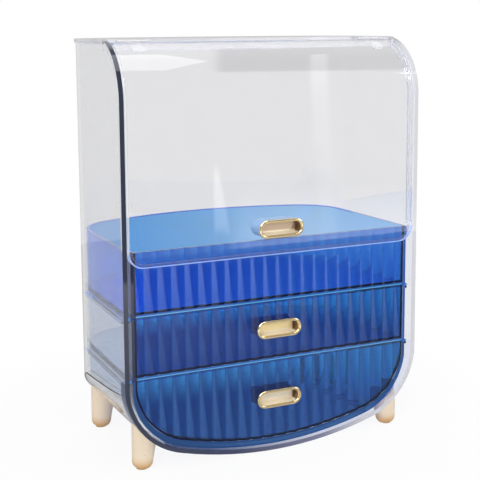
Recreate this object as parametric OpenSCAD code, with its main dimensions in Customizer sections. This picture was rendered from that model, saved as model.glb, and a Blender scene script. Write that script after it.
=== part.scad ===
// Dustproof makeup organizer: a clear case on four tapered legs, a curved
// flip-up cover, an open tray and two fluted drawers with recessed pulls.
// Millimetres. +X right, +Y back, +Z up. The origin is on the floor, under
// the middle of the footprint.

/* [Case] */
// Width over the side walls at the front
case_w = 300; // [270:1:330]
// Depth from the front plane to the middle of the bowed back
case_d = 195.5; // [180:0.5:230]
// Height from the floor to the top of the fixed top plate
case_h = 382; // [350:1:440]
// Thickness of the clear case wall
wall = 4; // [3:0.1:5]
// How far each side wall leans in toward the back, degrees
side_taper = 1.6; // [0:0.1:3]
// Radius of the upright rear corners
rear_corner_r = 58.5; // [40:0.5:70]
// Radius of the bowed back
bow_r = 308.5; // [260:0.5:500]
// Radius of the lower left and right corners
bottom_corner_r = 70; // [55:0.5:80]
// Radius of the shallow belly between the lower corners
belly_r = 366; // [320:1:600]
// Height of the belly above the floor
belly_clearance = 1.5; // [1:0.1:10]
// Radius of the curve from the front up into the top
front_round_r = 54; // [40:0.5:70]

/* [Top plate] */
// Thickness of the fixed top plate
plate_t = 4; // [3:0.1:6]
// How far the top plate stands proud of the walls
plate_overhang = 1.5; // [0.5:0.1:3]
// Depth of the locating rim and of the hinge beam's foot
rim_h = 3; // [2:0.1:5]
// Thickness of the locating rim
rim_t = 2.4; // [1.5:0.1:4]
// Height of the hinge beam below the top plate
beam_h = 6.2; // [4:0.1:10]
// Thickness of the hinge beam
beam_t = 3; // [2:0.1:5]

/* [Cover] */
// Thickness of the clear cover
cover_t = 3; // [2:0.1:4]
// Height of the cover's lower edge
cover_bottom_z = 186.5; // [183:0.5:192]
// Radius of the cover's two lower corners
lip_corner_r = 15; // [8:0.5:20]
// Depth of the cover's side flanges
flange_d = 8; // [6:0.5:14]
// Height above the lower edge at which the flanges start
flange_rise = 16; // [15:0.5:40]
// Gap between the cover and the case walls
cover_gap = 0.5; // [0.3:0.05:1]
// Width of the bead along the cover's lower edge
bead_w = 2.6; // [1.5:0.1:4]
// How far the bead stands in from the cover
bead_t = 0.9; // [0.4:0.1:1.2]

/* [Hinges] */
// Distance of the hinge axis behind the front plane
hinge_y = 41; // [36:0.5:50]
// Drop of the hinge axis below the top of the case
hinge_drop = 2.2; // [2.1:0.1:3]
// Radius of the hinge knuckles
knuckle_r = 1.9; // [1.6:0.05:2]
// Radius of the hinge pins
pin_r = 0.9; // [0.7:0.05:1.1]
// Running clearance round the hinge pins
pin_clearance = 0.06; // [0.03:0.01:0.1]
// Distance from the case's side to the centre of each hinge
hinge_in = 28.5; // [28:0.5:60]
// Length of one knuckle
knuckle_l = 10; // [8:0.5:12]
// Gap between neighbouring knuckles
knuckle_gap = 0.35; // [0.3:0.05:0.6]
// Thickness of the hinge leaves
leaf_t = 1.3; // [1:0.1:1.6]
// Depth of the leaf bonded under the cover
leaf_d = 12; // [8:0.5:18]

/* [Shelves] */
// Height of the upper shelf's top face
upper_shelf_z = 141.9; // [136:0.1:146]
// Height of the lower shelf's top face
lower_shelf_z = 85.7; // [82.5:0.1:90]
// Thickness of a shelf
shelf_t = 2.4; // [2:0.1:3]
// Width of the ledge that carries a shelf
ledge_w = 3; // [2:0.1:3.5]
// Thickness of that ledge
ledge_t = 2; // [1.5:0.1:4]

/* [Tray and drawers] */
// Distance of the fronts behind the case's front plane
front_recess = 5; // [4.5:0.1:10]
// Gap between the case wall and the tray or a drawer
side_gap = 4.5; // [4:0.1:6]
// Wall and floor thickness of the tray and the drawers
box_t = 2.6; // [2:0.1:3.4]
// Height of the tray
tray_h = 58.4; // [50:0.1:62]
// Thickness of a fluted front over its ribs
front_t = 3.2; // [2.6:0.1:4.5]
// Pitch of the front's ribs
flute_pitch = 12.94; // [8:0.01:20]
// Height of a rib above the valleys between ribs
flute_h = 1.2; // [0.6:0.05:1.5]
// Bond gap round a fluted front
bond_gap = 0.25; // [0.1:0.05:0.4]
// Gap above a drawer's front
front_gap = 0.6; // [0.4:0.1:1.5]
// Gap above a drawer's side walls
head_gap = 1.2; // [0.8:0.1:4]
// Radius of the lower drawer's bottom corners
low_corner_r = 63; // [50:0.5:68]
// Running gap under the lower drawer
low_gap = 0.4; // [0.3:0.1:1]
// Height of the lower drawer's floor above its front's lower edge
runner_h = 3.4; // [2:0.1:6]
// Distance of the two runners from the middle
runner_x = 97; // [60:1:105]
// Width of a runner
runner_w = 2.4; // [1.6:0.1:5]

/* [Pulls] */
// Length of a pull's bezel
pull_l = 46; // [36:0.5:60]
// Height of a pull's bezel
pull_h = 17; // [14:0.5:19]
// Width of the bezel's rim
pull_rim = 3; // [2:0.1:4]
// How far the bezel stands proud of its front
pull_proud = 1.5; // [0.8:0.1:2.5]
// Depth of the finger cup behind the front's face
cup_depth = 9; // [6:0.5:12]
// Wall of the finger cup
cup_t = 1.2; // [0.8:0.1:1.8]
// Clearance between the cup, its hole and its sleeve
pull_clearance = 0.1; // [0.05:0.05:0.3]
// Wall of the retaining sleeve behind the front
sleeve_t = 1; // [0.8:0.1:2]
// Length of the retaining sleeve
sleeve_l = 16; // [10:0.5:20]
// Sideways place of the pulls
pull_x = 3; // [-10:0.5:10]
// Height of the pull on the cover
cover_pull_z = 210.3; // [209.5:0.1:230]
// Height of the pull on the upper drawer
upper_pull_z = 115.5; // [104:0.5:122]
// Height of the pull on the lower drawer
lower_pull_z = 49; // [38:0.5:62]

/* [Legs] */
// Distance of each foot in from the case's side
leg_in = 20.5; // [20:0.5:45]
// Distance of the front feet behind the front plane
leg_front_y = 18.5; // [15:0.5:60]
// Distance of the rear feet behind the front plane
leg_rear_y = 135; // [100:0.5:140]
// Radius of a leg near the floor
leg_foot_r = 9.5; // [8:0.1:12]
// Radius of a leg at its full length
leg_top_r = 14; // [12:0.1:16]
// Full length of a leg before the case cuts it
leg_l = 60; // [50:1:80]
// Radius round the end of a leg
leg_round_r = 7; // [2:0.1:7.5]
// Outward lean of a leg, degrees
leg_lean = 5.5; // [0:0.1:8]
// Radius of a foot pad
pad_r = 5; // [3:0.1:6]
// Thickness of a foot pad
pad_t = 0.8; // [0.5:0.1:1.4]
// Radius of a leg screw's shank
screw_r = 1.75; // [1.25:0.05:2.5]
// Radius of a leg screw's head
screw_head_r = 3.3; // [2.6:0.1:4]
// Length of a leg screw under its head
screw_l = 12; // [8:0.5:16]
// Clearance round a leg screw
screw_clearance = 0.08; // [0.04:0.01:0.2]

/* [Hidden] */
$fn = 96;
// Overlap of a cutting shape past what it cuts
cut = 1;
// Step between a corner arc and its neighbours, so that no two just graze
arc_step = 0.02;
// Bond line between two clear pieces
bond = 0.05;
half_w = case_w / 2;
hinge_x = half_w - hinge_in;
leg_x = half_w - leg_in;

// ---- plan outline: straight leaning sides, round rear corners, bowed back
lean = tan(side_taper);
lean_len = sqrt(1 + lean * lean);
side_n = [1, lean] / lean_len;
side_e = [-lean, 1] / lean_len;
bow_c = [0, case_d - bow_r];
corner_foot = side_n * (half_w / lean_len - rear_corner_r);
from_bow = corner_foot - bow_c;
along = -(from_bow * side_e) + sqrt(pow(from_bow * side_e, 2)
  - (from_bow * from_bow - pow(bow_r - rear_corner_r, 2)));
corner_c = corner_foot + side_e * along;
bow_dir = (corner_c - bow_c) / norm(corner_c - bow_c);

// ---- front outline: upright sides, round lower corners, shallow belly.
// It is a little wider than the plan, so the two never just graze each other
corner_ease = 0.4;
low_x = half_w + corner_ease - bottom_corner_r;
belly_c = [0, belly_clearance + belly_r];
low_c = [low_x, belly_c[1] - sqrt(pow(belly_r - bottom_corner_r, 2) - low_x * low_x)];

// ---- heights and places that follow from the sizes above
plate_z = case_h - plate_t;
hinge_z = case_h - hinge_drop;
cover_skin = 0.4;
cover_back_y = hinge_y - knuckle_r - 0.3;
knuckle_sweep = norm([hinge_y - cover_back_y, hinge_drop]);
plate_y = hinge_y + knuckle_sweep + 0.3;
post_y = front_recess + front_t + 0.2;
shelf_y = post_y + 0.2;
box_inset = wall + side_gap;
front_half = half_w - (box_inset + box_t) * lean_len - lean * front_recess;
tray_z = upper_shelf_z + bond;
drawer_z = lower_shelf_z + bond;
tray_top_z = upper_shelf_z + tray_h;
upper_front_top = upper_shelf_z - front_gap;
upper_side_top = upper_shelf_z - shelf_t - head_gap;
lower_front_top = lower_shelf_z - front_gap;
lower_side_top = lower_shelf_z - shelf_t - head_gap;
flute_r = (pow(flute_pitch / 2, 2) + pow(flute_h, 2)) / (2 * flute_h);
flute_n = ceil(half_w / flute_pitch);

// ---- lower drawer outline, shaped like the case but a running gap inside it
low_belly_r = belly_r - wall - low_gap;
low_half = half_w - box_inset * lean_len + corner_ease;
low_corner_x = low_half - low_corner_r;
low_corner_c = [low_corner_x, belly_c[1]
  - sqrt(pow(low_belly_r - low_corner_r, 2) - low_corner_x * low_corner_x)];

// ---- pull sizes shared by the bezel, the hole and the sleeve
cup_l = pull_l - 2 * pull_rim;
cup_h = pull_h - 2 * pull_rim;
cup_out = cup_t + pull_clearance;

function mirror_x(p) = [-p[0], p[1]];
// Points in the order given, or reversed, so that they run anticlockwise
function turned(pts, keep) = keep ? pts : [for (i = [len(pts) - 1 : -1 : 0]) pts[i]];

// Outline of a rounded shape that is symmetric about X = 0, from the tangent
// points of its corner and end arcs
module arc_body(flat, corner, r, end_c, end_r, dir, side) {
  top = flat - arc_step * side;
  a = corner + (r - arc_step) * side;
  b = corner + (r - arc_step) * dir;
  c = b + [0, dir[1] * end_r];
  polygon(turned([top, a, b, mirror_x(b), mirror_x(a), mirror_x(top)], dir[1] > 0));
  for (sx = [-1, 1]) translate([sx * corner[0], corner[1]])
    rotate(dir[1] > 0 ? 270 - sx * 45 : 90 + sx * 45) circle(r);
  intersection() {
    translate(end_c) circle(end_r - arc_step, $fn = 360);
    polygon(turned([b, c, mirror_x(c), mirror_x(b)], dir[1] > 0));
  }
}

// Plan of the case, drawn in by inset, from y = front back to the bowed end
module plan(inset, front = 0) {
  arc_body([half_w - inset * lean_len - lean * front, front], corner_c,
    rear_corner_r - inset, bow_c, bow_r - inset, bow_dir, side_n);
}

module plan_block(inset, z0, z1, front = 0) {
  translate([0, 0, z0]) linear_extrude(z1 - z0) plan(inset, front);
}

// Region y0..y1 and z0..z1 over the full width
module slab(y0, y1, z0, z1) {
  translate([-half_w - 10, y0, z0]) cube([case_w + 20, y1 - y0, z1 - z0]);
}

// An outline drawn as X, Z pushed back along Y
module front_block(y0, y1) {
  translate([0, y1, 0]) rotate([90, 0, 0]) linear_extrude(y1 - y0) children();
}

// An outline drawn as Y, Z pushed along X, centred on X = 0
module side_block(w) {
  translate([-w / 2, 0, 0]) rotate([90, 0, 90]) linear_extrude(w) children();
}

module front_outline(inset) {
  dir = (low_c - belly_c) / norm(low_c - belly_c);
  arc_body([half_w + corner_ease - inset, case_h + cut], low_c, bottom_corner_r - inset,
    belly_c, belly_r - inset, dir, [1, 0]);
}

module side_outline(inset) {
  r = front_round_r - inset;
  c = [front_round_r, case_h - front_round_r];
  polygon([[inset, -cut], [case_d + cut, -cut], [case_d + cut, case_h - inset],
    [c[0], case_h - inset], [inset, c[1]]]);
  translate(c) circle(r);
}

// Rounded outer form of the case
module case_form() {
  intersection() {
    plan_block(0, 0, case_h);
    front_block(-cut, case_d + cut) front_outline(0);
    side_block(case_w + cut) side_outline(0);
  }
}

// Clear one-piece case: side walls, bowed back and rounded bottom, with the
// ledges that carry the shelves and countersunk holes for the leg screws
module case_shell() {
  color("lightcyan", 0.5) place() {
    difference() {
      case_form();
      intersection() {
        plan_block(wall, -cut, case_h + cut, -2 * cut);
        front_block(-cut, case_d) front_outline(wall);
      }
      slab(plate_y - bond, case_d + cut, plate_z - bond, case_h + cut);
      for (sx = [-1, 1]) for (y = [leg_front_y, leg_rear_y])
        at_leg_screw(sx, y) screw_hole();
    }
    for (z = [upper_shelf_z, lower_shelf_z]) shelf_ledge(z - shelf_t - bond);
  }
}

module shelf_ledge(top) {
  intersection() {
    difference() {
      plan_block(wall - 0.5, top - ledge_t, top);
      plan_block(wall + ledge_w, top - ledge_t - cut, top + cut);
    }
    slab(shelf_y, case_d, top - ledge_t, top);
  }
}

// Puts a piece drawn from the front plane into the shared frame
module place() {
  translate([0, -case_d / 2, 0]) children();
}

// Fixed top plate with its locating rim and the beam that carries the hinges
module top_plate() {
  fit = wall + 0.2;
  color("lightcyan") place() {
    intersection() {
      plan_block(-plate_overhang, plate_z, case_h);
      slab(plate_y, case_d + plate_overhang + cut, plate_z, case_h);
    }
    intersection() {
      difference() {
        plan_block(fit, plate_z - rim_h, plate_z);
        plan_block(fit + rim_t, plate_z - rim_h - cut, plate_z + cut);
      }
      slab(plate_y, case_d, plate_z - rim_h, plate_z);
    }
    intersection() {
      plan_block(fit, plate_z - beam_h, plate_z);
      slab(plate_y, plate_y + beam_t, plate_z - beam_h, plate_z);
    }
    translate([-hinge_foot_half, cover_back_y - 0.6, plate_z - beam_h])
      cube([2 * hinge_foot_half, plate_y - cover_back_y + 1.6, foot_t]);
  }
}

// The beam's foot closes the gap under the hinge line between the flanges
foot_t = 2;
hinge_foot_half = half_w - (wall + cover_gap + cover_t) * lean_len
  - lean * plate_y - 1;

module shelf(top) {
  color("powderblue") place() intersection() {
    plan_block(wall + 0.1, top - shelf_t, top);
    slab(shelf_y, case_d, top - shelf_t, top);
  }
}

module upper_shelf() { shelf(upper_shelf_z); }
module lower_shelf() { shelf(lower_shelf_z); }

// ---- legs, their screws and pads
leg_mid = 28;
screw_angle = acos((leg_x - tan(leg_lean) * leg_mid - low_c[0]) / bottom_corner_r);

// The screw's axis is square to the case where it enters the leg
module at_leg_screw(sx, y) {
  mirror([sx < 0 ? 1 : 0, 0, 0]) translate([low_c[0], y, low_c[1]])
    rotate([0, 90 + screw_angle, 0]) translate([0, 0, bottom_corner_r - wall])
      children();
}

head_h = screw_head_r - screw_r;
head_sink = 0.35;

module screw_hole() {
  translate([0, 0, -cut]) cylinder(h = cut + head_sink, r = screw_head_r + screw_clearance);
  translate([0, 0, head_sink])
    cylinder(h = head_h, r1 = screw_head_r + screw_clearance, r2 = screw_r + screw_clearance);
  cylinder(h = screw_l + 2, r = screw_r + screw_clearance);
}

module leg_screw(sx, y) {
  color("silver") place() at_leg_screw(sx, y) {
    difference() {
      translate([0, 0, head_sink]) cylinder(h = head_h, r1 = screw_head_r, r2 = screw_r);
      for (a = [0, 90]) rotate(a)
        translate([-screw_head_r * 0.6, -0.4, head_sink - cut])
          cube([screw_head_r * 1.2, 0.8, cut + 0.9]);
    }
    translate([0, 0, head_sink + head_h]) cylinder(h = screw_l - head_h, r = screw_r);
  }
}

module leg(sx, y) {
  color("gold") place() difference() {
    translate([sx * leg_x, y, 0]) rotate([0, -sx * leg_lean, 0])
      rotate_extrude() {
        polygon([[0, 0], [leg_foot_r - leg_round_r, 0], [leg_foot_r, leg_round_r],
          [leg_top_r, leg_l], [0, leg_l]]);
        intersection() {
          translate([leg_foot_r - leg_round_r, leg_round_r]) circle(leg_round_r);
          square([leg_foot_r, leg_round_r]);
        }
      }
    translate([-half_w, 0, -10]) cube([case_w, case_d, 10 + pad_t]);
    leg_seat();
    at_leg_screw(sx, y) screw_hole();
  }
}

// What the case takes away from the top of a leg
module leg_seat() {
  front_block(-cut, case_d) front_outline(-bond);
}

module foot_pad(sx, y) {
  color("dimgray") place() translate([sx * leg_x, y, 0])
    cylinder(h = pad_t, r = pad_r);
}

module leg_front_left() { leg(-1, leg_front_y); }
module leg_front_right() { leg(1, leg_front_y); }
module leg_rear_left() { leg(-1, leg_rear_y); }
module leg_rear_right() { leg(1, leg_rear_y); }
module screw_front_left() { leg_screw(-1, leg_front_y); }
module screw_front_right() { leg_screw(1, leg_front_y); }
module screw_rear_left() { leg_screw(-1, leg_rear_y); }
module screw_rear_right() { leg_screw(1, leg_rear_y); }
module pad_front_left() { foot_pad(-1, leg_front_y); }
module pad_front_right() { foot_pad(1, leg_front_y); }
module pad_rear_left() { foot_pad(-1, leg_rear_y); }
module pad_rear_right() { foot_pad(1, leg_rear_y); }

// ---- hinges
// Two outer knuckles on an upright leaf bonded to the hinge beam
module hinge_base(sx) {
  step = knuckle_l + knuckle_gap;
  leaf_y = plate_y - bond - leaf_t;
  leaf_bottom = plate_z - beam_h + foot_t + bond;
  color("gainsboro") place() difference() {
    for (k = [-1, 1]) translate([sx * hinge_x + k * step - knuckle_l / 2, 0, 0]) {
      translate([0, hinge_y, hinge_z]) rotate([0, 90, 0])
        cylinder(h = knuckle_l, r = knuckle_r);
      translate([0, hinge_y, hinge_z - knuckle_r])
        cube([knuckle_l, plate_y - bond - hinge_y, knuckle_r]);
      translate([0, leaf_y, leaf_bottom])
        cube([knuckle_l, leaf_t, hinge_z - knuckle_r - leaf_bottom + 0.2]);
    }
    pin_bore(sx);
  }
}

module pin_bore(sx) {
  translate([sx * hinge_x - 2 * knuckle_l, hinge_y, hinge_z]) rotate([0, 90, 0])
    cylinder(h = 4 * knuckle_l, r = pin_r + pin_clearance);
}

module hinge_pin(sx) {
  l = 3 * knuckle_l + 2 * knuckle_gap;
  color("silver") place() translate([sx * hinge_x - l / 2, hinge_y, hinge_z])
    rotate([0, 90, 0]) cylinder(h = l, r = pin_r);
}

// Middle knuckle on a curved leaf bonded to the inside of the cover
module hinge_leaf(sx) {
  under = cover_skin + cover_t + bond;
  web_z = case_h - front_round_r + sqrt(pow(front_round_r - under - leaf_t / 2, 2)
    - pow(front_round_r - hinge_y, 2));
  color("gainsboro") place() difference() {
    union() {
      translate([sx * hinge_x, 0, 0]) side_block(knuckle_l) intersection() {
        difference() {
          side_outline(under);
          side_outline(under + leaf_t);
        }
        translate([cover_back_y - leaf_d, case_h - front_round_r])
          square([leaf_d + hinge_y - cover_back_y, front_round_r]);
      }
      translate([sx * hinge_x - knuckle_l / 2, 0, 0]) {
        translate([0, hinge_y, hinge_z]) rotate([0, 90, 0])
          cylinder(h = knuckle_l, r = knuckle_r);
        translate([0, cover_back_y + bond, web_z])
          cube([knuckle_l, hinge_y - cover_back_y - bond, hinge_z - web_z]);
      }
    }
    pin_bore(sx);
  }
}

module hinge_base_left() { hinge_base(-1); }
module hinge_base_right() { hinge_base(1); }
module hinge_pin_left() { hinge_pin(-1); }
module hinge_pin_right() { hinge_pin(1); }
module hinge_leaf_left() { hinge_leaf(-1); }
module hinge_leaf_right() { hinge_leaf(1); }

// ---- cover
module cover_form(y_in) {
  intersection() {
    side_block(case_w) difference() {
      side_outline(cover_skin);
      side_outline(cover_skin + y_in);
    }
    slab(-cut, cover_back_y, cover_bottom_z, case_h);
  }
}

// Front view of the cover with its rounded lower corners
module lip_outline(inset) {
  w = half_w - (wall + cover_gap) * lean_len - inset;
  z = cover_bottom_z + inset;
  r = lip_corner_r - inset;
  for (sx = [-1, 1]) translate([sx * (w - r), z + r]) circle(r);
  translate([-w + r, z]) square([2 * (w - r), r + cut]);
  translate([-w, z + r]) square([2 * w, case_h]);
}

// Curved cover: one skin with side flanges and a bead round its lower edge
module cover_panel() {
  color("azure", 0.6) place() difference() {
    union() {
      intersection() {
        cover_form(cover_t);
        plan_block(wall + cover_gap, cover_bottom_z, case_h);
        front_block(-cut, cover_back_y + cut) lip_outline(0);
      }
      intersection() {
        cover_form(flange_d);
        difference() {
          plan_block(wall + cover_gap, cover_bottom_z + flange_rise, case_h);
          plan_block(wall + cover_gap + cover_t, cover_bottom_z, case_h + cut);
        }
      }
      intersection() {
        front_block(cover_skin + cover_t - 0.5, cover_skin + cover_t + bead_t) difference() {
          lip_outline(0.3);
          lip_outline(bead_w);
        }
        slab(-cut, cover_back_y, cover_bottom_z, cover_bottom_z + flange_rise);
      }
    }
    pull_hole(cover_skin, cover_pull_z);
  }
}

// ---- pulls
// A level pill outline, long along X, in X and Z
module pill(l, h) {
  for (sx = [-1, 1]) translate([sx * (l - h) / 2, 0]) circle(h / 2);
  square([l - h, h], center = true);
}

module at_pull(y, z) {
  translate([pull_x, y, z]) rotate([90, 0, 0]) children();
}

module pull_hole(y, z) {
  at_pull(y, z) translate([0, 0, -front_t - cut])
    linear_extrude(front_t + 2 * cut) pill(cup_l + 2 * cup_out, cup_h + 2 * cup_out);
}

// Half-round rim section, from the cup's mouth outward
module rim_section() {
  translate([pull_rim / 2, 0]) intersection() {
    translate([0, pull_proud - pull_rim / 2]) circle(pull_rim / 2);
    translate([-pull_rim, 0]) square([2 * pull_rim, pull_proud]);
  }
  square([pull_rim, max(pull_proud - pull_rim / 2, 0.01)]);
}

// Plated pull: a rounded bezel round a finger cup
module pull(y, z) {
  straight = cup_l - cup_h;
  color("gold") place() at_pull(y, z) {
    for (sx = [-1, 1]) translate([sx * straight / 2, 0, 0]) rotate(sx * 90 - 180)
      rotate_extrude(angle = 180) translate([cup_h / 2, 0]) rim_section();
    for (sz = [0, 1]) mirror([0, sz, 0]) translate([-straight / 2, cup_h / 2, 0])
      rotate([90, 0, 90]) linear_extrude(straight) rim_section();
    translate([0, 0, -cup_depth]) difference() {
      linear_extrude(cup_depth) pill(cup_l + 2 * cup_t, cup_h + 2 * cup_t);
      translate([0, 0, cup_t]) linear_extrude(cup_depth) pill(cup_l, cup_h);
    }
  }
}

// Sleeve pushed over the cup behind the front to hold the pull in
module pull_sleeve(y, back, z) {
  color("steelblue") place() at_pull(y, z) translate([0, 0, -back - bond - sleeve_l])
    linear_extrude(sleeve_l) difference() {
      pill(cup_l + 2 * (cup_out + sleeve_t), cup_h + 2 * (cup_out + sleeve_t));
      pill(cup_l + 2 * cup_out, cup_h + 2 * cup_out);
    }
}

module cover_pull() { pull(cover_skin, cover_pull_z); }
module cover_pull_sleeve() { pull_sleeve(cover_skin, cover_t, cover_pull_z); }
module upper_pull() { pull(front_recess, upper_pull_z); }
module upper_pull_sleeve() { pull_sleeve(front_recess, front_t, upper_pull_z); }
module lower_pull() { pull(front_recess, lower_pull_z); }
module lower_pull_sleeve() { pull_sleeve(front_recess, front_t, lower_pull_z); }

// ---- fluted fronts
// Plan of a front: a flat back and a row of rounded ribs, in X and Y
module flute_plan() {
  back = front_recess + flute_h + 0.1;
  translate([-half_w, back]) square([case_w, front_recess + front_t - back]);
  intersection() {
    union() for (k = [-flute_n : flute_n - 1])
      translate([(k + 0.5) * flute_pitch, front_recess + flute_r]) circle(flute_r);
    translate([-half_w, front_recess - cut]) square([case_w, flute_h + cut + 0.2]);
  }
}

// Upright front between the end posts of a box
module flat_front(z0, z1) {
  w = front_half - bond_gap;
  intersection() {
    translate([0, 0, z0]) linear_extrude(z1 - z0) flute_plan();
    slab_between(w, z0, z1);
  }
}

module slab_between(w, z0, z1) {
  translate([-w, 0, z0]) cube([2 * w, case_d, z1 - z0]);
}

// Open box with a flat floor, open at the front between two end posts
module flat_box(z0, front_top, side_top) {
  floor_z = z0 + box_t;
  difference() {
    intersection() {
      plan_block(box_inset, z0, front_top);
      slab(front_recess, case_d, z0, front_top);
    }
    plan_block(box_inset + box_t, floor_z, front_top + cut);
    if (side_top < front_top) slab(post_y, case_d, side_top, front_top + cut);
  }
}

module tray_body() {
  color("royalblue") place()
    flat_box(tray_z, tray_top_z, tray_top_z);
}

module tray_front() {
  color("mediumblue") place()
    flat_front(tray_z + box_t + bond_gap, tray_top_z);
}

module upper_drawer_body() {
  color("steelblue") place()
    flat_box(drawer_z, upper_front_top, upper_side_top);
}

module upper_drawer_front() {
  color("royalblue") place() difference() {
    flat_front(drawer_z + box_t + bond_gap, upper_front_top);
    pull_hole(front_recess, upper_pull_z);
  }
}

// ---- lower drawer, rounded like the bottom of the case
module low_outline(inset, lift) {
  c = low_corner_c + [0, lift];
  e = belly_c + [0, lift];
  dir = (c - e) / norm(c - e);
  arc_body([low_half - inset, lower_front_top], c, low_corner_r - inset,
    e, low_belly_r - inset, dir, [1, 0]);
}

module lower_drawer_body() {
  color("steelblue") place() difference() {
    union() {
      intersection() {
        front_block(front_recess, case_d) low_outline(0, runner_h);
        plan_block(box_inset, 0, lower_front_top);
      }
      intersection() {
        front_block(front_recess, post_y) low_outline(0, 0);
        plan_block(box_inset, 0, lower_front_top);
      }
      intersection() {
        for (sx = [-1, 1])
          translate([sx * runner_x - runner_w / 2, post_y - cut, 0])
            cube([runner_w, case_d - 60, low_corner_c[1]]);
        front_block(front_recess, case_d) low_outline(0, 0);
        plan_block(box_inset, 0, lower_front_top);
      }
    }
    intersection() {
      front_block(-cut, case_d) low_outline(box_t, runner_h);
      plan_block(box_inset + box_t, 0, lower_front_top);
    }
    slab(-cut, case_d, lower_front_top - 0.001, case_h);
    slab(post_y, case_d, lower_side_top, case_h);
  }
}

module lower_drawer_front() {
  color("royalblue") place() difference() {
    intersection() {
      linear_extrude(lower_front_top) flute_plan();
      front_block(0, case_d) low_outline(box_t + bond_gap, runner_h);
      slab_between(front_half - bond_gap, 0, lower_front_top);
    }
    pull_hole(front_recess, lower_pull_z);
  }
}

case_shell();
top_plate();
upper_shelf();
lower_shelf();
leg_front_left();
leg_front_right();
leg_rear_left();
leg_rear_right();
screw_front_left();
screw_front_right();
screw_rear_left();
screw_rear_right();
pad_front_left();
pad_front_right();
pad_rear_left();
pad_rear_right();
hinge_base_left();
hinge_base_right();
hinge_pin_left();
hinge_pin_right();
tray_body();
tray_front();
cover_panel();
hinge_leaf_left();
hinge_leaf_right();
cover_pull();
cover_pull_sleeve();
upper_drawer_body();
upper_drawer_front();
upper_pull();
upper_pull_sleeve();
lower_drawer_body();
lower_drawer_front();
lower_pull();
lower_pull_sleeve();
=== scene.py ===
import math
import bpy
from mathutils import Matrix, Vector


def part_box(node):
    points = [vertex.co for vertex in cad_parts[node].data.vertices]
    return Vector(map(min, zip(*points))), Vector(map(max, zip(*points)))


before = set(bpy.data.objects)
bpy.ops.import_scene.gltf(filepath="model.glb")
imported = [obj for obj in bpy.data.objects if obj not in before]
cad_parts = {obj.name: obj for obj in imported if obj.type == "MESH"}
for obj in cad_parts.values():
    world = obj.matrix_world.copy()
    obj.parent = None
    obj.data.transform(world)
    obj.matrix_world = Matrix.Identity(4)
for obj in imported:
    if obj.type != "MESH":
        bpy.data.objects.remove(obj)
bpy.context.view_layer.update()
scene = bpy.context.scene
scene.view_settings.view_transform = "Standard"
bpy.ops.object.select_all(action="DESELECT")

# Camera: it stands to the left of the organizer at the height of its top and
# looks slightly down at the front. A small shift of the lens sets the framing.
# Its picture is measured in pixels, its film in millimetres, its angles in radians.
picture_side = 480
focal_length = 1086.31
centre_row = 178.547
film_width = 36
eye = (-0.448907, -0.958489, 0.392986)
yaw, pitch, roll = 0.444654, 0.139753, -0.006445
ahead = Vector((math.sin(yaw) * math.cos(pitch), math.cos(yaw) * math.cos(pitch), -math.sin(pitch)))
level = Vector((math.cos(yaw), -math.sin(yaw), 0))
upright = level.cross(ahead)
right = level * math.cos(roll) + upright * math.sin(roll)
above = upright * math.cos(roll) - level * math.sin(roll)
turn = Matrix((right, above, -ahead)).transposed().to_4x4()
bpy.ops.object.camera_add()
camera = bpy.context.object
camera.name = "camera"
camera.matrix_world = Matrix.Translation(eye) @ turn
camera.data.sensor_width = film_width
camera.data.lens = focal_length * film_width / picture_side
camera.data.shift_y = (centre_row - picture_side / 2) / picture_side
scene.camera = camera

# Floor: a white table that the organizer stands on, with a soft shadow by the
# feet. Mirrors see it dim, with a lit patch at the near left, whose slanting
# side crosses what the clear walls mirror.
table_size = 1.9
table_white = 0.85
shadow_share = 0.1
shadow_near, shadow_far = 0.16, 0.40
mirrored_table = 0.15
patch_start, patch_slope, patch_soft = 0.95, 0.467, 0.04
# Where along y a fade starts and ends, then the strengths at those two places
patch_near_end = (-0.93, -0.97, 1, 0)
patch_near_half = (-0.45, -0.9, 0.85, 2.0)
patch_far_half = (-0.2, -0.5, 0.2, 1.0)
second_mirror_y = -0.12


def calc(nt, operation, a, b=None):
    n = nt.nodes.new("ShaderNodeMath")
    n.operation = operation
    for i, v in enumerate((a, b)):
        if v is None:
            continue
        if isinstance(v, (int, float)):
            n.inputs[i].default_value = v
        else:
            nt.links.new(v, n.inputs[i])
    return n.outputs[0]


def product(nt, first, *others):
    for value in others:
        first = calc(nt, "MULTIPLY", first, value)
    return first


def total(nt, first, *others):
    for value in others:
        first = calc(nt, "ADD", first, value)
    return first


def most(nt, first, *others):
    for value in others:
        first = calc(nt, "MAXIMUM", first, value)
    return first


def minus(nt, a, b):
    return calc(nt, "SUBTRACT", a, b)


def over(nt, value, limit):
    return calc(nt, "GREATER_THAN", value, limit)


def under(nt, value, limit):
    return calc(nt, "LESS_THAN", value, limit)


def ramp(nt, value, start, end, low, high):
    n = nt.nodes.new("ShaderNodeMapRange")
    for label, v in (("From Min", start), ("From Max", end), ("To Min", low), ("To Max", high)):
        n.inputs[label].default_value = v
    nt.links.new(value, n.inputs["Value"])
    return n.outputs["Result"]


def fade(nt, value, start, end, low, high):
    soft = ramp(nt, value, start, end, low, high)
    soft.node.interpolation_type = "SMOOTHSTEP"
    return soft


def choose(nt, flag, no, yes):
    pick = nt.nodes.new("ShaderNodeMix")
    pick.data_type = "FLOAT"
    nt.links.new(flag, pick.inputs["Factor"])
    for value, socket in ((no, "A"), (yes, "B")):
        if isinstance(value, float):
            pick.inputs[socket].default_value = value
        else:
            nt.links.new(value, pick.inputs[socket])
    return pick.outputs["Result"]


def axes_of(nt, place):
    n = nt.nodes.new("ShaderNodeSeparateXYZ")
    nt.links.new(place, n.inputs[0])
    return n.outputs


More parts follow.
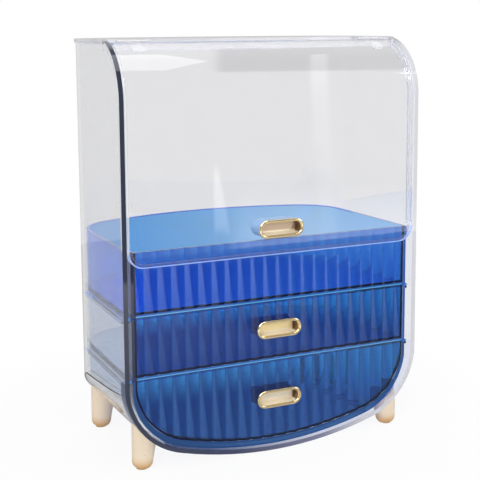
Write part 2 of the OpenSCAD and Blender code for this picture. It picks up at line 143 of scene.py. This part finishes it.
# The first flag is 1 for a ray that comes straight off a mirror, the second for
# a ray that was mirrored at least once on its way.
def mirror_flags(nt, path):
    straight = over(nt, path.outputs["Is Glossy Ray"], path.outputs["Is Transmission Ray"])
    return straight, calc(nt, "MINIMUM", path.outputs["Glossy Depth"], 1.0)


bpy.ops.mesh.primitive_plane_add(size=table_size, location=(0, 0, 0))
floor = bpy.context.object
floor.name = "floor"
paper = bpy.data.materials.new("paper")
paper.use_nodes = True
nt = paper.node_tree
nt.nodes.clear()
out = nt.nodes.new("ShaderNodeOutputMaterial")
mix = nt.nodes.new("ShaderNodeMixShader")
glow = nt.nodes.new("ShaderNodeEmission")
flat = nt.nodes.new("ShaderNodeBsdfDiffuse")
path = nt.nodes.new("ShaderNodeLightPath")
spot = nt.nodes.new("ShaderNodeTexCoord")
reach = nt.nodes.new("ShaderNodeVectorMath")
reach.operation = "LENGTH"
nt.links.new(spot.outputs["Object"], reach.inputs[0])
x, y, z = axes_of(nt, spot.outputs["Object"])
straight, mirrored_once = mirror_flags(nt, path)
second = product(nt, path.outputs["Is Transmission Ray"], mirrored_once, under(nt, y, second_mirror_y))
side = minus(nt, x, product(nt, total(nt, y, patch_start), patch_slope))
patch = product(
    nt,
    fade(nt, side, 0.0, patch_soft, 1, 0),
    fade(nt, y, *patch_near_end),
    fade(nt, y, *patch_near_half),
    fade(nt, y, *patch_far_half),
)
strength = choose(nt, most(nt, straight, second), 1.0, total(nt, patch, mirrored_table))
lit_share = product(nt, minus(nt, 1.0, path.outputs["Is Diffuse Ray"]),
                    fade(nt, reach.outputs["Value"], shadow_near, shadow_far, 1 - shadow_share, 1.0))
glow.inputs["Color"].default_value = (1, 1, 1, 1)
flat.inputs["Color"].default_value = (table_white, table_white, table_white, 1)
nt.links.new(strength, glow.inputs["Strength"])
nt.links.new(lit_share, mix.inputs["Fac"])
nt.links.new(flat.outputs[0], mix.inputs[1])
nt.links.new(glow.outputs[0], mix.inputs[2])
nt.links.new(mix.outputs[0], out.inputs["Surface"])
floor.data.materials.append(paper)
bpy.ops.object.select_all(action="DESELECT")

# Room: white where it is seen directly. The walls mirror a dimmer room, with
# pale cards and a lamp tube in front of the organizer and a lit panel over it,
# and one grey card behind the organizer shows through them.
diffuse_light = 0.7
turn_from, turn_to = -0.3, 0.3
mirrored_front, mirrored_back = 0.20, 0.6
second_mirror_loss = 0.4
least_north = 0.01
slant_at, slant_slope, slant_soft = 0.4234, -0.22, 0.002
tube_left, tube_right, tube_soft = 0.488, 0.501, 0.003
# Where up the tube a fade starts and ends, then the strengths at those two places
tube_foot, tube_head = (-0.15, -0.03, 0.3, 1), (0.1, 0.5, 1.6, 2.2)
panel_side, panel_slant, panel_soft = 0.404, 0.125, 0.003
panel_middle, panel_peak, panel_half, panel_end = -0.17, -0.19, 0.30, 0.01
panel_from, panel_to, panel_strength = 0.55, 0.65, 2.9
room = scene.world or bpy.data.worlds.new("room")
scene.world = room
room.use_nodes = True
nt = room.node_tree
nt.nodes.clear()
out = nt.nodes.new("ShaderNodeOutputWorld")
back = nt.nodes.new("ShaderNodeBackground")
path = nt.nodes.new("ShaderNodeLightPath")
way = nt.nodes.new("ShaderNodeTexCoord")
east, north, up = axes_of(nt, way.outputs["Generated"])
# Tangent of the angle to the right of straight ahead, seen from the organizer
bearing = calc(nt, "DIVIDE", east, most(nt, calc(nt, "ABSOLUTE", north), least_north))
in_front = under(nt, north, 0.0)


def card(left, right, soft, low, high, soft_up, strength):
    sides = product(nt, fade(nt, bearing, left - soft, left + soft, 0, 1),
                    fade(nt, bearing, right - soft, right + soft, 1, 0))
    ends = product(nt, fade(nt, up, low - soft_up, low + soft_up, 0, 1),
                   fade(nt, up, high - soft_up, high + soft_up, 1, 0))
    return product(nt, sides, ends, strength)


slant = minus(nt, bearing, total(nt, product(nt, up, slant_slope), slant_at))
high_card = product(
    nt,
    fade(nt, slant, -slant_soft, slant_soft, 1, 0),
    card(left=0.447, right=0.9, soft=0.002, low=-0.186, high=-0.130, soft_up=0.008, strength=2.6),
)
low_card = card(left=0.470, right=0.75, soft=0.02, low=-0.240, high=-0.165, soft_up=0.025, strength=2.2)
grey_card = card(left=0.45, right=0.69, soft=0.010, low=-0.0315, high=0.08, soft_up=0.002, strength=0.20)
tube = product(
    nt,
    fade(nt, east, tube_left - tube_soft, tube_left + tube_soft, 0, 1),
    fade(nt, east, tube_right - tube_soft, tube_right + tube_soft, 1, 0),
    fade(nt, up, *tube_foot),
    fade(nt, up, *tube_head),
)
from_peak = calc(nt, "ABSOLUTE", minus(nt, north, panel_peak))
from_middle = calc(nt, "ABSOLUTE", minus(nt, north, panel_middle))
panel_east = minus(nt, panel_side, product(nt, from_peak, panel_slant))
panel = product(
    nt,
    fade(nt, minus(nt, panel_east, east), -panel_soft, panel_soft, 0, 1),
    fade(nt, up, panel_from, panel_to, 0, panel_strength),
    fade(nt, from_middle, panel_half - panel_end, panel_half + panel_end, 1, 0),
)
mirrored = total(nt, fade(nt, north, turn_from, turn_to, mirrored_front, mirrored_back),
                 product(nt, total(nt, high_card, low_card, tube), in_front), panel)
straight, mirrored_once = mirror_flags(nt, path)
loss = product(nt, fade(nt, north, turn_from, turn_to, second_mirror_loss, 0.0), mirrored_once)
through = minus(nt, minus(nt, 1.0, loss), product(nt, grey_card, minus(nt, 1.0, in_front)))
strength = choose(nt, straight, through, mirrored)
strength = choose(nt, path.outputs["Is Diffuse Ray"], strength, diffuse_light)
strength = choose(nt, path.outputs["Is Camera Ray"], strength, 1.0)
back.inputs["Color"].default_value = (1, 1, 1, 1)
nt.links.new(strength, back.inputs["Strength"])
nt.links.new(back.outputs[0], out.inputs["Surface"])

# Lamps: a soft box over the left shoulder and a weaker one at the right, both
# turned to the middle of the organizer. Its clear walls lie many layers deep,
# so light is followed through 32 of them.
middle = Vector((0, 0, 0.2))
wall_layers = 32
for name, place, size, power in (
    ("softbox", (-1.1, -1.3, 1.5), 0.9, 20),
    ("fill", (1.4, -0.9, 0.9), 0.8, 7),
):
    bpy.ops.object.light_add(type="AREA", location=place)
    lamp = bpy.context.object
    lamp.name = name
    lamp.data.shape = "SQUARE"
    lamp.data.size = size
    lamp.data.energy = power
    lamp.visible_camera = False
    lamp.rotation_euler = (middle - Vector(place)).to_track_quat("-Z", "Y").to_euler()
bpy.ops.object.select_all(action="DESELECT")
scene.cycles.max_bounces = wall_layers
scene.cycles.transmission_bounces = wall_layers
scene.cycles.glossy_bounces = wall_layers
scene.cycles.transparent_max_bounces = wall_layers

# Case: one clear shell, injection-moulded in styrene with a faint cool tint,
# that carries all the rest. Its open front edge carries painted shade, dark at
# the left, which turns to painted light toward the right, and the sill behind that edge is painted the same
# way.
case_front_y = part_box("case_shell")[0].y
case_top_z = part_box("top_plate")[1].z
case_half = 0.150
front_round = 0.054
rim_depth, rim_skin = 0.00055, 0.0003
rim_fade_from, rim_fade_to, rim_top_share = 0.009, 0.002, 0.2
rim_cloud = 0.75
rim_shade_tones = ((0.0, (0.036, 0.043, 0.07)), (0.35, (0.05, 0.06, 0.12)), (0.65, (0.22, 0.23, 0.34)),
         (0.82, (0.72, 0.72, 0.78)), (1.0, (0.80, 0.80, 0.84)))
sill_y, sill_z = -0.085, 0.085
sill_dark_x, sill_pale_x = -0.07, 0.05
sill_dark, sill_pale = (0.10, 0.13, 0.25), (0.82, 0.83, 0.92)
styrene_dye, styrene_shade = (0.52, 0.53, 0.6), (0.97, 0.97, 0.98)
flow_scale, flow_detail, flow_tone = 45, 2, 0.98
glossier, duller = 0.6, 1.4


def blend(nt, factor, a, b):
    n = nt.nodes.new("ShaderNodeMix")
    n.data_type = "RGBA"
    nt.links.new(factor, n.inputs["Factor"])
    for v, socket in ((a, "A"), (b, "B")):
        if isinstance(v, tuple):
            n.inputs[socket].default_value = (*v, 1)
        else:
            nt.links.new(v, n.inputs[socket])
    return n.outputs["Result"]


# Clear or dyed plastic. The dye fills the solid, veil makes its skin milky, and
# a lamp's light passes straight through it, tinted by shade.
def moulded(name, base, rough, dye, density, shade, painted_light_and_tone=None, veil=0, ior=1.5):
    m = bpy.data.materials.new(name)
    m.use_nodes = True
    nt = m.node_tree
    nt.nodes.clear()
    out = nt.nodes.new("ShaderNodeOutputMaterial")
    body = nt.nodes.new("ShaderNodeBsdfPrincipled")
    body.inputs["Transmission Weight"].default_value = 1 - veil
    body.inputs["IOR"].default_value = ior
    place = nt.nodes.new("ShaderNodeTexCoord")
    flow = nt.nodes.new("ShaderNodeTexNoise")
    flow.inputs["Scale"].default_value = flow_scale
    flow.inputs["Detail"].default_value = flow_detail
    nt.links.new(place.outputs["Object"], flow.inputs["Vector"])
    gloss = ramp(nt, flow.outputs["Fac"], 0, 1, rough * glossier, rough * duller)
    nt.links.new(gloss, body.inputs["Roughness"])
    colour = blend(nt, flow.outputs["Fac"], tuple(c * flow_tone for c in base), base)
    # The hook paints light and shade into the colour.
    if painted_light_and_tone:
        colour = painted_light_and_tone(nt, place.outputs["Object"], colour, body)
    nt.links.new(colour, body.inputs["Base Color"])
    stain = nt.nodes.new("ShaderNodeVolumeAbsorption")
    stain.inputs["Color"].default_value = (*dye, 1)
    stain.inputs["Density"].default_value = density
    nt.links.new(stain.outputs[0], out.inputs["Volume"])
    path = nt.nodes.new("ShaderNodeLightPath")
    pane = nt.nodes.new("ShaderNodeBsdfTransparent")
    pane.inputs["Color"].default_value = (*shade, 1)
    lamps = nt.nodes.new("ShaderNodeMixShader")
    nt.links.new(path.outputs["Is Shadow Ray"], lamps.inputs["Fac"])
    nt.links.new(body.outputs[0], lamps.inputs[1])
    nt.links.new(pane.outputs[0], lamps.inputs[2])
    nt.links.new(lamps.outputs[0], out.inputs["Surface"])
    return m


def dress(material, *nodes):
    for node in nodes:
        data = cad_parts[node].data
        data.materials.clear()
        data.materials.append(material)


def cloud(nt, body, mask, share, clear=1.0):
    weight = minus(nt, clear, product(nt, mask, share))
    nt.links.new(weight, body.inputs["Transmission Weight"])


def distance(nt, a, b):
    return calc(nt, "SQRT", total(nt, product(nt, a, a), product(nt, b, b)))


# Painted shade on the front edge and the sill of the case, dark at the left and pale toward the right.
def painted_rim_shade(nt, place, colour, body):
    x, y, z = axes_of(nt, place)
    face = under(nt, y, case_front_y + rim_depth)
    dy = minus(nt, y, case_front_y + front_round)
    dz = minus(nt, z, case_top_z - front_round)
    bend = product(nt, over(nt, distance(nt, dy, dz), front_round - rim_skin),
                   under(nt, dy, 0.0), over(nt, dz, 0.0))
    fading = ramp(nt, z, case_top_z - rim_fade_from, case_top_z + rim_fade_to, 1, rim_top_share)
    rim = product(nt, most(nt, face, bend), fading)
    scale = nt.nodes.new("ShaderNodeValToRGB")
    nt.links.new(ramp(nt, x, -case_half, case_half, 0, 1), scale.inputs["Fac"])
    stops = scale.color_ramp.elements
    stops[0].color = (*rim_shade_tones[0][1], 1)
    stops[1].color = (*rim_shade_tones[-1][1], 1)
    for at, tone in rim_shade_tones[1:-1]:
        stops.new(at).color = (*tone, 1)
    cloud(nt, body, rim, rim_cloud)
    sill = product(nt, under(nt, y, sill_y), under(nt, z, sill_z))
    sill_shade = blend(nt, ramp(nt, x, sill_dark_x, sill_pale_x, 0, 1), sill_dark, sill_pale)
    return blend(nt, rim, blend(nt, sill, colour, sill_shade), scale.outputs["Color"])


case_clear = moulded("clear_case", base=(0.912, 0.912, 0.918), rough=0.02, dye=styrene_dye, density=16,
                     shade=styrene_shade, painted_light_and_tone=painted_rim_shade)
dress(case_clear, "case_shell")

# Top plate and hinges: the fixed lid of the case, and the small knuckles and
# leaves that carry the cover. They are moulded in the same styrene, slightly
# milky, and bonded in place.
milky = moulded("clear_styrene", base=(0.86, 0.86, 0.87), rough=0.02, dye=(0.5, 0.52, 0.62), density=3,
                shade=styrene_shade, veil=0.3)
dress(milky, "top_plate", "hinge_base_left", "hinge_base_right", "hinge_leaf_left", "hinge_leaf_right")

# Shelves: two thin sheets of blue-tinted styrene, cut to the plan of the case.
# They lie on ledges inside its walls, under the tray and the upper drawer.
tinted = moulded("tinted_sheet", base=(0.8, 0.9, 0.98), rough=0.03, dye=(0.3, 0.7, 0.98), density=15,
                 shade=(0.7, 0.85, 0.98))
dress(tinted, "upper_shelf", "lower_shelf")

# Legs: four tapered cores with a satin champagne plating, coloured darker and
# more orange toward the foot. A screw from inside the case holds each one.
corners = ("front_left", "front_right", "rear_left", "rear_right")
leg_gold, foot_gold = (1.0, 0.84, 0.64), (0.74, 0.42, 0.15)
foot_from_z, foot_to_z, foot_share = 0.013, 0.002, 0.9
plating_detail, plating_tone = 3, 0.93
plating_glossier, plating_duller = 0.7, 1.3


def plated(name, colour, rough, grain, metal=1, painted_light_and_tone=None):
    m = bpy.data.materials.new(name)
    m.use_nodes = True
    nt = m.node_tree
    body = nt.nodes["Principled BSDF"]
    body.inputs["Metallic"].default_value = metal
    place = nt.nodes.new("ShaderNodeTexCoord")
    noise = nt.nodes.new("ShaderNodeTexNoise")
    noise.inputs["Scale"].default_value = grain
    noise.inputs["Detail"].default_value = plating_detail
    nt.links.new(place.outputs["Object"], noise.inputs["Vector"])
    gloss = ramp(nt, noise.outputs["Fac"], 0, 1, rough * plating_glossier, rough * plating_duller)
    nt.links.new(gloss, body.inputs["Roughness"])
    shown = blend(nt, noise.outputs["Fac"], tuple(c * plating_tone for c in colour), colour)
    # The hook paints light and shade into the cup colour, and a darker foot on the legs.
    if painted_light_and_tone:
        shown = painted_light_and_tone(nt, place.outputs["Object"], shown, body)
    nt.links.new(shown, body.inputs["Base Color"])
    return m


# Colours the leg darker and more orange toward the foot.
def darker_foot(nt, place, colour, body):
    x, y, z = axes_of(nt, place)
    return blend(nt, fade(nt, z, foot_from_z, foot_to_z, 0, foot_share), colour, foot_gold)


satin = plated("champagne_plating", leg_gold, rough=0.3, grain=40, metal=0.3, painted_light_and_tone=darker_foot)
dress(satin, *["leg_" + corner for corner in corners])

# Leg screws and hinge pins: bought steel parts with a bright zinc plating. The
# screws' heads sit in countersinks in the case, and the pins run through the
# knuckles of the hinges.
steel = plated("zinc_plating", (0.75, 0.75, 0.77), rough=0.2, grain=120)
dress(steel, *["screw_" + corner for corner in corners], "hinge_pin_left", "hinge_pin_right")

# Foot pads: thin discs of soft tan rubber, cut from sheet and stuck under the
# legs, so that the organizer neither slides nor marks the table.
matt_grain, matt_tone = 300, 0.85
pit_strength, pit_depth = 0.1, 0.0002


def matt(name, colour, rough):
    m = bpy.data.materials.new(name)
    m.use_nodes = True
    nt = m.node_tree
    body = nt.nodes["Principled BSDF"]
    body.inputs["Roughness"].default_value = rough
    place = nt.nodes.new("ShaderNodeTexCoord")
    noise = nt.nodes.new("ShaderNodeTexNoise")
    noise.inputs["Scale"].default_value = matt_grain
    pits = nt.nodes.new("ShaderNodeBump")
    pits.inputs["Strength"].default_value = pit_strength
    pits.inputs["Distance"].default_value = pit_depth
    nt.links.new(place.outputs["Object"], noise.inputs["Vector"])
    nt.links.new(noise.outputs["Fac"], pits.inputs["Height"])
    nt.links.new(pits.outputs["Normal"], body.inputs["Normal"])
    tone = blend(nt, noise.outputs["Fac"], tuple(c * matt_tone for c in colour), colour)
    nt.links.new(tone, body.inputs["Base Color"])
    return m


rubber = matt("pad_rubber", (0.62, 0.45, 0.25), rough=0.6)
dress(rubber, *["pad_" + corner for corner in corners])

# Tray: an open box of royal blue styrene, dyed right through, with a ribbed
# front bonded into it. A thin dark line of painted shade runs along the sides and foot of the front at the
# joint, and the lower front edge of the box is painted as a strip with a dark shadow line under a pale
# highlight.
front_half = 0.1370
face_skin = 0.00025
strip_below, strip_gap = 0.00045, 0.0002
strip_pale_from, strip_mid_from = 0.0010, 0.0019
strip_shadow, strip_highlight, strip_mid = (0.015, 0.05, 0.17), (0.12, 0.42, 0.78), (0.03, 0.13, 0.42)
end_x, end_shade_left, end_shade_right = 0.1, (0.02, 0.03, 0.07), (0.04, 0.13, 0.45)
edge_cloud = 0.8
flank_y, flank_x = -0.0795, -0.1405
shade_wash_x, shade_wash_left = 0.13, (0.24, 0.57, 0.98)
brim_depth, brim_blue = 0.0008, (0.07, 0.16, 0.60)
joint_shade_height, joint_shade_dark = 0.0018, (0.004, 0.006, 0.03)
joint_shade_cloud, front_clear = 0.93, 0.95
rib_pitch = 0.01294
wedge_start, wedge_growth, wedge_soft = 0.08, 0.55, 0.06
calm_from_x, calm_to_x, calm_contrast, calm_tone = -0.06, 0.10, 0.5, 0.3
head_from_x, head_to_x, head_growth = 0.0, 0.12, 2.6
head_left_share, head_full_across = 0.15, 0.7
valley_from, valley_to, valley_share = 0.43, 0.48, 0.8


# Painted light and shade on a box: the strip under its front, with a painted shadow line under a painted
# highlight, and painted shade on the ends beside it, darkest at the left; for the tray also painted shade
# that deepens the blue toward the left, and a deep blue brim round the back.
def painted_edge_light(box, front, shaded_left=False):
    low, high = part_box(box)
    strip_low = low.z - strip_below
    strip_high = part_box(front)[0].z - strip_gap

    def painted_light_and_tone(nt, place, colour, body):
        x, y, z = axes_of(nt, place)
        face = under(nt, y, low.y + face_skin)
        strip = product(nt, face, over(nt, z, strip_low), under(nt, z, strip_high))
        tone = blend(nt, over(nt, z, strip_low + strip_pale_from), strip_shadow, strip_highlight)
        tone = blend(nt, over(nt, z, strip_low + strip_mid_from), tone, strip_mid)
        end = product(nt, face, over(nt, calc(nt, "ABSOLUTE", x), front_half))
        end = most(nt, end, product(nt, under(nt, y, flank_y), under(nt, x, flank_x)))
        tone = blend(nt, end, tone, blend(nt, ramp(nt, x, -end_x, end_x, 0, 1), end_shade_left, end_shade_right))
        marked = most(nt, strip, end)
        clouded = marked
        if shaded_left:
            colour = blend(nt, ramp(nt, x, -shade_wash_x, shade_wash_x, 0, 1), shade_wash_left, colour)
            brim = product(nt, over(nt, z, high.z - brim_depth), over(nt, y, 0.0))
            colour = blend(nt, brim, colour, brim_blue)
            clouded = most(nt, marked, brim)
        cloud(nt, body, clouded, edge_cloud)
        return blend(nt, marked, colour, tone)
    return painted_light_and_tone


# A dark line of painted shade at the joint of a front, where the front is also made less clear.
def joint_shade(nt, line, colour, body):
    cloud(nt, body, line, joint_shade_cloud, clear=front_clear)
    return blend(nt, line, colour, joint_shade_dark)


def straight_joint_shade(front):
    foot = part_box(front)[0].z + joint_shade_height

    def painted_light_and_tone(nt, place, colour, body):
        x, y, z = axes_of(nt, place)
        line = most(nt, over(nt, calc(nt, "ABSOLUTE", x), front_half), under(nt, z, foot))
        return joint_shade(nt, line, colour, body)
    return painted_light_and_tone


# The light each rib bends is painted into its colour: a dark upper wedge and a paler one, which starts
# at the valley on its left and widens downward; the head of the rib carries a painted highlight and the
# valleys painted shade.
def painted_rib_light(top, foot, dark, rib_highlight, head, edge):
    def painted_light_and_tone(nt, place, pale, body):
        x, y, z = axes_of(nt, place)
        across = calc(nt, "FRACT", calc(nt, "DIVIDE", x, rib_pitch))
        drop = ramp(nt, z, top, foot, 0, 1)
        width = total(nt, product(nt, drop, wedge_growth), wedge_start)
        wedge = fade(nt, minus(nt, across, width), -wedge_soft, wedge_soft, 1, 0)
        wedge = total(nt, product(nt, wedge, ramp(nt, x, calm_from_x, calm_to_x, 1, calm_contrast)),
                      ramp(nt, x, calm_from_x, calm_to_x, 0, calm_tone))
        reach = product(nt, ramp(nt, x, head_from_x, head_to_x, 1, head_growth), head)
        lid = product(nt, fade(nt, calc(nt, "DIVIDE", drop, reach), 0, 1, 1, 0),
                      ramp(nt, across, 0.0, head_full_across, head_left_share, 1))
        from_middle = calc(nt, "ABSOLUTE", minus(nt, across, 0.5))
        valley = ramp(nt, from_middle, valley_from, valley_to, 0, valley_share)
        tone = blend(nt, lid, blend(nt, wedge, dark, pale), rib_highlight)
        return edge(nt, place, blend(nt, valley, tone, dark), body)
    return painted_light_and_tone


royal_shade = (0.3, 0.6, 0.97)
royal = moulded("royal_blue_styrene", base=(0.76, 0.84, 0.98), rough=0.02, dye=(0.2, 0.72, 0.98),
                density=330, shade=royal_shade, painted_light_and_tone=painted_edge_light("tray_body", "tray_front", shaded_left=True))
royal_rib_light = painted_rib_light(top=0.2, foot=0.146, dark=(0.09, 0.32, 0.78), rib_highlight=(0.42, 0.80, 1.0), head=0.4,
                    edge=straight_joint_shade("tray_front"))
royal_front = moulded("royal_blue_ribs", base=(0.18, 0.48, 0.88), rough=0.03, dye=(0.08, 0.46, 0.80),
                      density=480, shade=royal_shade, painted_light_and_tone=royal_rib_light, ior=1.4)
dress(royal, "tray_body")
dress(royal_front, "tray_front")

# Cover: one clear curved panel with side flanges, moulded like the case and
# bonded to the leaves of the hinges. Its lower edge is painted with a pale highlight line and, just inside
# it, a dark line of painted shade, and its side edges high up are painted pale.
cover_bottom_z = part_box("cover_panel")[0].z
cover_half = 0.1440
lip_round = 0.015
lip_from, lip_to = 0.0144, 0.0147
shade_line_inner, shade_line_outer = (0.0118, 0.0121), (0.0125, 0.0128)
hem_x, hem_z = 0.1438, 0.2
lip_cloud = 0.45
lip_highlight, lip_shade_dark, hem_pale = (0.50, 0.62, 0.95), (0.12, 0.14, 0.35), (0.78, 0.79, 0.84)


# Painted highlight on the lower edge, painted shade in a line just inside it, and the side edges painted
# pale.
def painted_lip_light(nt, place, colour, body):
    x, y, z = axes_of(nt, place)
    wide = calc(nt, "ABSOLUTE", x)
    dx = most(nt, minus(nt, wide, cover_half - lip_round), 0.0)
    dz = most(nt, minus(nt, cover_bottom_z + lip_round, z), 0.0)
    out = distance(nt, dx, dz)
    low = under(nt, z, cover_bottom_z + lip_round)
    lip = product(nt, ramp(nt, out, lip_from, lip_to, 0, 1), low)
    shade_line = product(nt, ramp(nt, out, *shade_line_inner, 0, 1), ramp(nt, out, *shade_line_outer, 1, 0), low)
    hem = product(nt, over(nt, wide, hem_x), over(nt, z, hem_z))
    cloud(nt, body, most(nt, hem, lip, shade_line), lip_cloud)
    shown = blend(nt, shade_line, blend(nt, lip, colour, lip_highlight), lip_shade_dark)
    return blend(nt, hem, shown, hem_pale)


cover_clear = moulded("clear_cover", base=(0.975, 0.972, 0.978), rough=0.02, dye=styrene_dye, density=16,
                      shade=styrene_shade, painted_light_and_tone=painted_lip_light)
dress(cover_clear, "cover_panel")

# Upper drawer: a box of slate blue styrene, greyer and darker than the tray,
# with a ribbed front bonded into it in the same way. It slides on the lower
# shelf.
slate_shade = (0.3, 0.5, 0.8)
slate = moulded("slate_blue_styrene", base=(0.88, 0.91, 0.97), rough=0.02, dye=(0.3, 0.6, 0.88), density=50,
                shade=slate_shade, painted_light_and_tone=painted_edge_light("upper_drawer_body", "upper_drawer_front"))
slate_rib_light = painted_rib_light(top=0.1413, foot=0.09, dark=(0.035, 0.15, 0.42), rib_highlight=(0.13, 0.55, 0.88), head=0.36,
                    edge=straight_joint_shade("upper_drawer_front"))
slate_front = moulded("slate_blue_ribs", base=(0.14, 0.28, 0.52), rough=0.03, dye=(0.05, 0.40, 0.78),
                      density=560, shade=slate_shade, painted_light_and_tone=slate_rib_light, ior=1.4)
dress(slate, "upper_drawer_body")
dress(slate_front, "upper_drawer_front")

# Lower drawer: the same slate blue, with a bottom that follows the belly of the
# case and two runners under it. The ring round its front is painted darker than its walls as shade,
# with more painted shade on its left flank, and the painted shade at the joint of its front follows the
# curve.
ring_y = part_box("lower_drawer_body")[0].y + face_skin
ring_shade, ring_flank_shade = (0.02, 0.085, 0.27), (0.02, 0.03, 0.08)
ring_flank_from_x, ring_flank_to_x = -0.10, -0.02
ring_cloud = 0.7
corner_x, corner_z, corner_round = 0.0789, 0.0829, 0.0585
belly_z, belly_round, belly_half = 0.3709, 0.35715, 0.0948


# Painted shade on the front ring, and darker painted shade on the left flank.
def painted_ring_shade(nt, place, colour, body):
    x, y, z = axes_of(nt, place)
    ring = under(nt, y, ring_y)
    flank = product(nt, under(nt, y, flank_y), minus(nt, 1.0, ring),
                    ramp(nt, x, ring_flank_from_x, ring_flank_to_x, 1, 0))
    cloud(nt, body, most(nt, ring, flank), ring_cloud)
    return blend(nt, flank, blend(nt, ring, colour, ring_shade), ring_flank_shade)


# The painted shade line at the joint, following the curved outline of the lower front.
def curved_joint_shade(nt, place, colour, body):
    x, y, z = axes_of(nt, place)
    wide = calc(nt, "ABSOLUTE", x)
    side = product(nt, over(nt, wide, front_half), over(nt, z, corner_z))
    from_corner = distance(nt, minus(nt, wide, corner_x), minus(nt, z, corner_z))
    corner = product(nt, under(nt, z, corner_z), over(nt, wide, belly_half),
                     over(nt, from_corner, corner_round))
    from_belly = distance(nt, x, minus(nt, z, belly_z))
    belly = product(nt, under(nt, wide, belly_half), over(nt, from_belly, belly_round))
    return joint_shade(nt, most(nt, side, corner, belly), colour, body)


slate_low = moulded("slate_blue_low_box", base=(0.82, 0.87, 0.95), rough=0.02, dye=(0.3, 0.6, 0.85),
                    density=110, shade=slate_shade, painted_light_and_tone=painted_ring_shade)
slate_low_rib_light = painted_rib_light(top=0.0851, foot=0.02, dark=(0.06, 0.20, 0.45), rib_highlight=(0.20, 0.74, 1.0), head=0.42,
                        edge=curved_joint_shade)
slate_low_front = moulded("slate_blue_low_ribs", base=(0.24, 0.44, 0.66), rough=0.03, dye=(0.05, 0.40, 0.74),
                          density=640, shade=slate_shade, painted_light_and_tone=slate_low_rib_light, ior=1.4)
dress(slate_low, "lower_drawer_body")
dress(slate_low_front, "lower_drawer_front")

# Pulls: one-piece bezels with a deep finger cup, moulded, plated in polished
# gold and pushed in through the front. The cup is duller than the rim, with a painted highlight on its
# floor, painted shade on its roof and at its right end, and each cup gets its own painted tone for the light
# it catches.
pull_gold = (1.0, 0.82, 0.48)
pull_metal, cup_metal = 0.85, 0.2
rim_back = 0.00185
floor_from, floor_to = -0.002, -0.004
roof_from, roof_to, roof_share = 0.0015, 0.004, 0.5
right_from, right_to = 0.0060, 0.0045
cup_floor_highlight, cup_roof_shade, cup_right_shade = (0.98, 0.88, 0.70), (0.35, 0.24, 0.14), (0.22, 0.13, 0.07)


# Paints a highlight on the floor of a pull's cup and shade on its roof and right end.
def painted_cup_light(pull, cup_lit_tone):
    low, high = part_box(pull)
    middle_z = (low.z + high.z) / 2

    def painted_light_and_tone(nt, place, colour, body):
        x, y, z = axes_of(nt, place)
        deep = over(nt, y, low.y + rim_back)
        metal = minus(nt, pull_metal, product(nt, deep, pull_metal - cup_metal))
        nt.links.new(metal, body.inputs["Metallic"])
        at_floor = fade(nt, z, middle_z + floor_from, middle_z + floor_to, 0, 1)
        at_roof = fade(nt, z, middle_z + roof_from, middle_z + roof_to, 0, roof_share)
        at_right = fade(nt, x, high.x - right_from, high.x - right_to, 0, 1)
        bowl = blend(nt, at_roof, blend(nt, at_floor, cup_lit_tone, cup_floor_highlight), cup_roof_shade)
        return blend(nt, deep, colour, blend(nt, at_right, bowl, cup_right_shade))
    return painted_light_and_tone


# Each cup's own tone is painted light and shade: darkest under the cover, palest in the lower drawer.
for pull, cup_lit_tone in (
    ("cover_pull", (0.50, 0.37, 0.25)),
    ("upper_pull", (0.96, 0.80, 0.44)),
    ("lower_pull", (1.0, 0.94, 0.80)),
):
    gold = plated("gold_" + pull, pull_gold, rough=0.07, grain=60, metal=pull_metal,
                  painted_light_and_tone=painted_cup_light(pull, cup_lit_tone))
    dress(gold, pull)

# Pull sleeves: moulded frames pushed over the cups from behind, which hold the
# pulls in place. Each is coloured to go with the front it sits behind.
dress(matt("sleeve_pale", (0.16, 0.36, 0.62), rough=0.4), "cover_pull_sleeve")
dress(matt("sleeve_navy", (0.05, 0.12, 0.42), rough=0.4), "upper_pull_sleeve", "lower_pull_sleeve")
